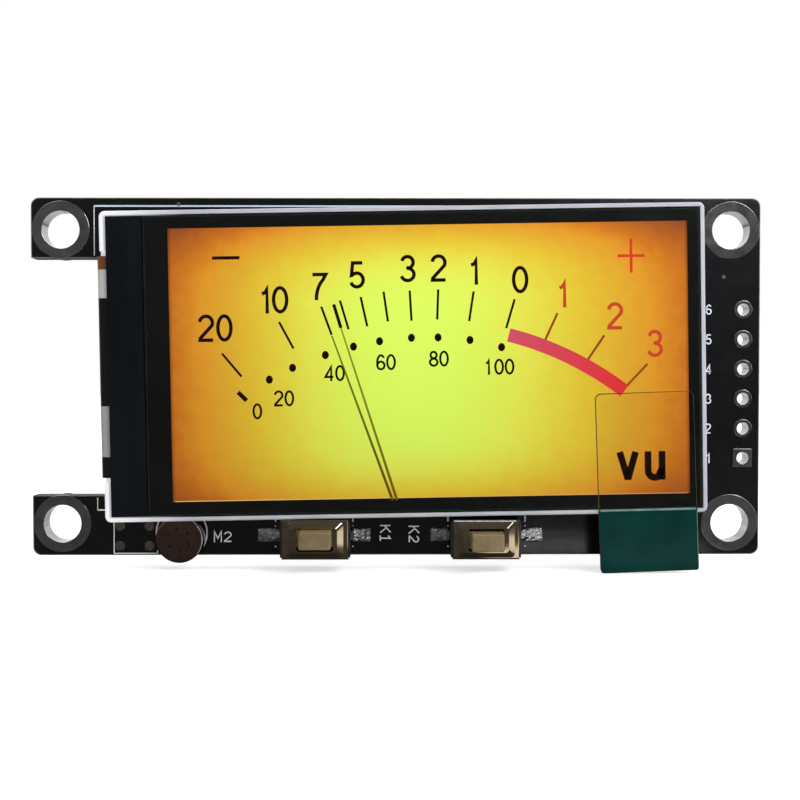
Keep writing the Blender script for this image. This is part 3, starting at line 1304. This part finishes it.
# %% [markdown]
# ## Films that light passes
# Two pieces are clear: the film that protects the screen until it is used, and the window of the
# tab that pulls it off. They are thin and hardly seen, so each has one low opacity, set as one
# plain number, and a light wave in its surface.

# %% Mix the clear films
FILM_WAVES = 5 * MM
FILM_WAVE_HEIGHT = 12e-6


def clear_film(name, tint, opacity, roughness):
    """A film that lets most light through."""
    material, tree, shader = new_material(name)
    dress(tree, shader, Base_Color=srgb(*tint), Roughness=roughness, Alpha=opacity)
    relief(tree, noise(tree, FILM_WAVES), FILM_WAVE_HEIGHT, shader)
    return material


FINISHES["protective_film"] = clear_film("protective_film", (20, 20, 20), 0.03, 0.10)
FINISHES["tab_clear"] = clear_film("tab_clear", (40, 22, 8), 0.04, 0.12)
print("two clear films, waves of", round(FILM_WAVES / MM, 1), "mm")

# %% [markdown]
# ## Parts with more than one colour
# Some small parts have two colours that follow from how they are made. The flexible circuit is
# amber film over copper lines. A lamp of the backlight is a white cup with a yellow phosphor. A
# tantalum capacitor has a printed bar at its positive end, and a chip resistor is a white ceramic
# slab that is glazed black on top.

# %% Mix the two-coloured finishes
FLEX_LINES = 0.50 * MM
FLEX_AMBER = ((0.49, (118, 72, 26)), (0.61, (166, 104, 44)))
FLEX_ZONES = (  # colours up the flex's front: its shield, bare tape, and film over copper
    (0.0, (16, 16, 18)), (0.30, (160, 158, 154)), (0.46, (16, 16, 18)), (0.80, (190, 190, 185)),
    (0.89, (112, 70, 34)))
FLEX_SPAN = (-14.5 * MM, 11.7 * MM)
FLEX_FRONT = 0.8 * MM  # what lies behind this is on the board's back
FLEX_LUMPS = 1.5 * MM
FLEX_ROUGHNESS = (0.25, 0.38)
FLEX_RELIEF = 6e-6
TOPPED_LUMPS = 0.2 * MM
TOPPED_RELIEF = 2e-6
TOPPED = {  # the faces' dark and light colour, the sides', and the roughness
    "resistor_glaze": (((20, 20, 22), (32, 32, 34)), ((196, 192, 184), (216, 212, 204)), (0.18, 0.32)),
    "led_white": (((216, 206, 120), (230, 222, 150)), ((222, 222, 220), (234, 234, 232)), (0.35, 0.50)),
}


def flex_material():
    """Amber film over parallel copper lines at the back, and zones of shield and tape at the front."""
    material, tree, shader = new_material("flex_film")
    axes = parts_of(tree, object_place(tree))
    lines = wave(tree, math.pi / (10 * FLEX_LINES), wave_type="BANDS", bands_direction="Z")
    zones = ramp(tree, spread(tree, axes["Z"], FLEX_SPAN), FLEX_ZONES)
    zones.node.color_ramp.interpolation = "CONSTANT"
    in_front = sums(tree, "LESS_THAN", axes["Y"], FLEX_FRONT)
    dress(tree, shader, Base_Color=mix(tree, in_front, ramp(tree, lines, FLEX_AMBER), zones, "RGBA"),
          Roughness=between(tree, noise(tree, FLEX_LUMPS), *FLEX_ROUGHNESS))
    relief(tree, lines, FLEX_RELIEF, shader)
    return material


def topped(name, top, side, roughness):
    """One colour on the faces that look along Y, and another on the sides."""
    material, tree, shader = new_material(name)
    lumps = noise(tree, TOPPED_LUMPS)
    colour = mix(tree, facing_along_y(tree), wander(tree, lumps, *side), wander(tree, lumps, *top),
                 "RGBA")
    dress(tree, shader, Base_Color=colour, Roughness=between(tree, lumps, *roughness))
    relief(tree, noise(tree, TOPPED_LUMPS / 3), TOPPED_RELIEF, shader)
    return material


FINISHES["flex_film"] = flex_material()
for name, row in TOPPED.items():
    FINISHES[name] = topped(name, *row)
print(len(FINISHES), "finishes")

# %% [markdown]
# ## Give every piece its finish
# The record says which finish each piece has, so a loop hands them out. The pieces' meshes stay as
# they are.

# %% Hand out the finishes
for part in RECORD["subparts"]:
    NODES[part["node"]].data.materials.clear()
    NODES[part["node"]].data.materials.append(FINISHES[part["material_slot"]])
NODES["test_pads"].data.materials[0] = FINISHES["dull_tinned_copper"]  # never soldered
print(len(RECORD["subparts"]), "pieces have their finish")

# %% Put the solder on
solder = make_piece("switch_solder", mounds, FINISHES["solder"], smooth_below=50)
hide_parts("switch_solder_joints")
print(len(solder.data.polygons), "faces of solder")

# %% [markdown]
# ## Snap domes
# Under each button lies a thin steel dome, which gives way with a click and makes the contact. Both
# its faces are caps of a sphere, so the height over the rim follows from the sphere's radius and the
# distance from the middle. The dome can't follow the button as a stiff piece, so it is one that
# flattens: at the end of the press its height is a third of what it was.

# %% Form the domes
DOME_SHEET = 0.06 * MM
DOME_RINGS = np.linspace(0.02, 1, 9)  # shares of the radius; the flat in the middle hardly shows
DOME_POINTS = 40


def cap_height(distance, radius, rise):
    """The height of a sphere's cap over its rim: the root of R squared less the distance squared,
    less R, plus the rise, where R is the sphere's radius."""
    sphere = (radius ** 2 + rise ** 2) / (2 * rise)
    return np.sqrt(sphere ** 2 - distance ** 2) - sphere + rise


def dome_rings(low, high):
    """Rings out along the inner cap, over the rim and back along the outer cap."""
    radius, rise = (high.x - low.x) / 2, high.y - low.y
    inner = DOME_RINGS * (radius - DOME_SHEET)
    outer = DOME_RINGS[::-1] * radius
    distance = np.concatenate([inner, outer])[:, None]
    height = np.concatenate([cap_height(inner, radius - DOME_SHEET, rise - DOME_SHEET),
                             cap_height(outer, radius, rise)])[:, None]
    angle = np.linspace(0, 2 * math.pi, DOME_POINTS, endpoint=False)[None, :]
    return np.stack([(low.x + high.x) / 2 + distance * np.cos(angle), high.y - height + 0 * angle,
                     (low.z + high.z) / 2 + distance * np.sin(angle)], axis=-1)


for side in SWITCH_PLACES:
    low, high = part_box(f"{side}_switch_dome")
    dome = make_piece(f"{side}_snap_dome", [dome_rings(low, high)], FINISHES["snap_dome_steel"],
                      smooth_below=40)
    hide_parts(f"{side}_switch_dome")
    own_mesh(dome)
print("domes", round((high.y - low.y) / MM, 2), "mm high")

# %% [markdown]
# ## Thin edges
# Some things show only as a hair line. The lacquer stops just short of the board's edge, because
# the cutter would chip it, so a rim of bare laminate is left. The clear tab's cut edge and its glue
# catch little light, and show as a thin dark loop that is bolder at the left. The film's edge over
# the green grip, and the burnished edges of the right switch cover and of the microphone's can,
# catch the window and show as pale lines. And two plated holes for tracks that change sides lie
# under the lacquer, as low grey bumps.

# %% Lay the bare rim and the tab's edges
BARE_WIDTH = 0.07
BARE_RADII = (0.7, 0.7, 0.7, 0.7, 0.06, 0.8, 0.8, 0.06)
TAB_EDGE_WIDTHS = (0.085, 0.035)  # at the tab's left and right
TAB_EDGE_LAYER = (FILM_BACK - 0.052 * MM, FILM_BACK - 0.058 * MM)
FILM_TOP_LINE = ((0.10, -0.38), (-0.30, -0.20))  # its ends, from the grip's two upper corners
FILM_TOP_WIDTH = 0.17
FILM_SIDE_LINE = ((-0.20, -0.4), (-0.04, -15.9))  # from the upper right corner to this height
FILM_SIDE_WIDTH = 0.045
BARE_LAMINATE = plain_finish("bare_laminate", (76, 72, 56), (128, 124, 112), 1.5, (0.55, 0.75), 3, 0.1)
TAB_EDGE_INK = plain_finish("tab_edge", (62, 56, 30), (86, 78, 46), 0.6, (0.4, 0.6), 1,
                            Specular_IOR_Level=0.2)
FILM_LIGHT = plain_finish("film_edge_light", (88, 112, 112), (128, 148, 146), 1.2, (0.3, 0.5), 1)


def inset_board_outline(inset):
    """The board's outline with its notch, moved inwards, in millimetres."""
    left, right = board_low.x / MM + inset, board_high.x / MM - inset
    bottom, top = board_low.z / MM + inset, board_high.z / MM - inset
    corners = [(left, top), (right, top), (right, bottom), (left, bottom), (left, -NOTCH_HALF - inset),
               (NOTCH_EDGE + inset, -NOTCH_HALF - inset), (NOTCH_EDGE + inset, NOTCH_HALF + inset),
               (left, NOTCH_HALF + inset)]
    return rounded(corners, BARE_RADII)


bare_rim = ribbon(on_board(inset_board_outline(BARE_WIDTH / 2)), BARE_WIDTH * MM,
                  INK_BACK, BOARD_FRONT - 0.004 * MM, looped=True)
board_piece("board_bare_edge", [bare_rim], BARE_LAMINATE)

tab_points = flat_points("pull_tab_window")
from_middle = tab_points - (tab_points.min(axis=0) + tab_points.max(axis=0)) / 2
tab_points = tab_points[np.argsort(np.arctan2(from_middle[:, 1], from_middle[:, 0]))]
tab_widths = np.interp(tab_points[:, 0], (tab_points[:, 0].min(), tab_points[:, 0].max()),
                       TAB_EDGE_WIDTHS) * MM
make_piece("tab_edge", [ribbon(tab_points, tab_widths, *TAB_EDGE_LAYER, looped=True)], TAB_EDGE_INK)

grip_low, grip_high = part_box("pull_tab_grip")
left, right, top = grip_low.x / MM, grip_high.x / MM, grip_high.z / MM
film_layer = (grip_low.y + 0.001 * MM, grip_low.y - 0.004 * MM)
(from_left, from_right), (side_top, side_end) = FILM_TOP_LINE, FILM_SIDE_LINE
top_line = ((left + from_left[0], top + from_left[1]), (right + from_right[0], top + from_right[1]))
side_line = ((right + side_top[0], top + side_top[1]), (right + side_end[0], side_end[1]))
film_lines = [ribbon(on_board(path), width * MM, *film_layer)
              for path, width in ((top_line, FILM_TOP_WIDTH), (side_line, FILM_SIDE_WIDTH))]
make_piece("film_edge_light", film_lines, FILM_LIGHT)
print("bare edge", BARE_WIDTH, "mm wide, tab edge of", len(tab_points), "points")

# %% Lay the bright metal edges and the tented vias
COVER_EDGE = (0.12, -0.30, -0.10)  # from the cover's left, right and top
COVER_EDGE_WIDTH = 0.11
COVER_EDGE_DEPTHS = (1.098, 1.106)  # in front of the cover's back
CAN_EDGE = (1.94, 1.94)
CAN_EDGE_ARC = (-40, 55)
CAN_EDGE_WIDTHS = (0.015, 0.05)  # at its ends, and how much more in its middle
CAN_EDGE_POINTS = 24
VIA_PLACES = ((-18.50, 14.66), (27.92, 8.53))
TENTED_SIZE = (0.17, 0.17)
BRIGHT_EDGE = plain_finish("burnished_edge", (150, 152, 162), (216, 218, 230), 0.5, (0.25, 0.4), 1)
TENTED = plain_finish("tented_via", (62, 62, 62), (96, 96, 98), 0.2, (0.3, 0.5), 3)

cover_low, cover_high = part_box("right_switch_cover")
edge_up = cover_high.z / MM + COVER_EDGE[2]
cover_edge = on_board([(cover_low.x / MM + COVER_EDGE[0], edge_up),
                       (cover_high.x / MM + COVER_EDGE[1], edge_up)])
cover_layer = [cover_high.y - depth * MM for depth in COVER_EDGE_DEPTHS]
make_piece("right_cover_bright_edge", [ribbon(cover_edge, COVER_EDGE_WIDTH * MM, *cover_layer)],
           BRIGHT_EDGE)

can_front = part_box("mic_can")[0].y
can_edge = bow((mic_across, mic_up), CAN_EDGE, *CAN_EDGE_ARC, CAN_EDGE_POINTS)
can_widths = CAN_EDGE_WIDTHS[0] + CAN_EDGE_WIDTHS[1] * np.sin(np.linspace(0, math.pi, CAN_EDGE_POINTS))
make_piece("mic_bright_edge", [ribbon(
    on_board(can_edge), can_widths * MM, can_front + 0.002 * MM, can_front - 0.004 * MM)],
    BRIGHT_EDGE)
board_piece("tented_vias", dots_at(VIA_PLACES, TENTED_SIZE, PRINT_LAYER, 16), TENTED)
print("two bright edges and", len(VIA_PLACES), "tented vias")
